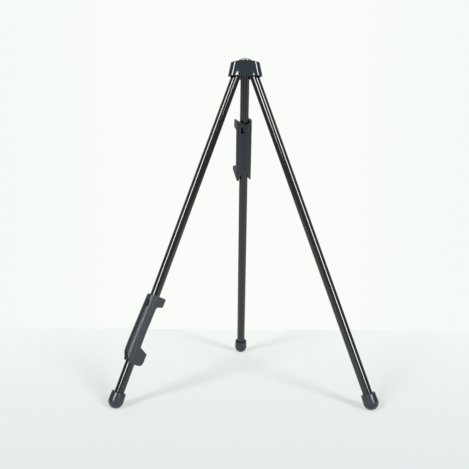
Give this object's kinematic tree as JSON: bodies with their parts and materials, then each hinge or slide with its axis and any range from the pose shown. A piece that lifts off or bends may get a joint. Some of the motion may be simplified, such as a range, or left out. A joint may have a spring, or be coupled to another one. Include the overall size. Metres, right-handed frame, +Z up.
{
  "type": "tabletop tripod easel",
  "caption": "Folding tabletop display easel: slender black tube legs hinged under a rounded three-sided hub, rounded rubber feet, and clip-on holders that slide and turn on the legs to carry a board.",
  "frame": {"origin": "on the floor plane, at the centre of the bounding box of the standing easel", "axes": "+Z up, -Y towards the front with the left leg at -X and the right leg at +X, +Y towards the rear leg"},
  "size_m": [0.2608, 0.2278, 0.3467],
  "materials": {
    "black_paint": "gloss black paint on steel tube",
    "hub_plastic": "gloss black moulding",
    "holder_plastic": "satin dark grey moulding",
    "foot_rubber": "satin dark grey rubber",
    "black_nylon": "plain black moulding",
    "grip_rubber": "matte black rubber",
    "zinc_steel": "zinc-plated steel"
  },
  "bodies": {
    "hub": {"hub_shell": "hub_plastic", "hub_cap": "hub_plastic", "leg_carrier": "black_nylon", "carrier_screw": "zinc_steel", "screw_washer": "zinc_steel", "left_pivot_pin": "zinc_steel", "rear_pivot_pin": "zinc_steel", "right_pivot_pin": "zinc_steel"},
    "left_leg": {"left_leg_tube": "black_paint", "left_leg_plug": "black_nylon", "left_foot": "foot_rubber"},
    "rear_leg": {"rear_leg_tube": "black_paint", "rear_leg_plug": "black_nylon", "rear_foot": "foot_rubber"},
    "right_leg": {"right_leg_tube": "black_paint", "right_leg_plug": "black_nylon", "right_foot": "foot_rubber"},
    "left_slider": {"left_grip_sleeve": "grip_rubber"},
    "left_clip": {"left_holder": "holder_plastic"},
    "rear_slider": {"rear_grip_sleeve": "grip_rubber"},
    "rear_clip": {"rear_holder": "holder_plastic"}
  },
  "joints": [
    {"name": "left_leg_fold", "type": "hinge", "parent": "hub", "child": "left_leg", "pos_m": [-0.00684, -0.03946, 0.33447], "axis": [0.5, -0.866, 0], "range_deg": [0, 21.3]},
    {"name": "rear_leg_fold", "type": "hinge", "parent": "hub", "child": "rear_leg", "pos_m": [0, -0.02761, 0.33447], "axis": [-1, 0, 0], "range_deg": [0, 21.3]},
    {"name": "right_leg_fold", "type": "hinge", "parent": "hub", "child": "right_leg", "pos_m": [0.00684, -0.03946, 0.33447], "axis": [0.5, 0.866, 0], "range_deg": [0, 21.3]},
    {"name": "left_holder_slide", "type": "slide", "parent": "left_leg", "child": "left_slider", "axis": [-0.3286, -0.1897, -0.9252], "range_m": [-0.233, 0.0285]},
    {"name": "left_holder_turn", "type": "hinge", "parent": "left_slider", "child": "left_clip", "pos_m": [-0.09488, -0.09029, 0.08661], "axis": [-0.3286, -0.1897, -0.9252], "continuous": true},
    {"name": "rear_holder_slide", "type": "slide", "parent": "rear_leg", "child": "rear_slider", "axis": [0, 0.3795, -0.9252], "range_m": [-0.04, 0.2215]},
    {"name": "rear_holder_turn", "type": "hinge", "parent": "rear_slider", "child": "rear_clip", "pos_m": [0, 0.00074, 0.26536], "axis": [0, 0.3795, -0.9252], "continuous": true}
  ]
}
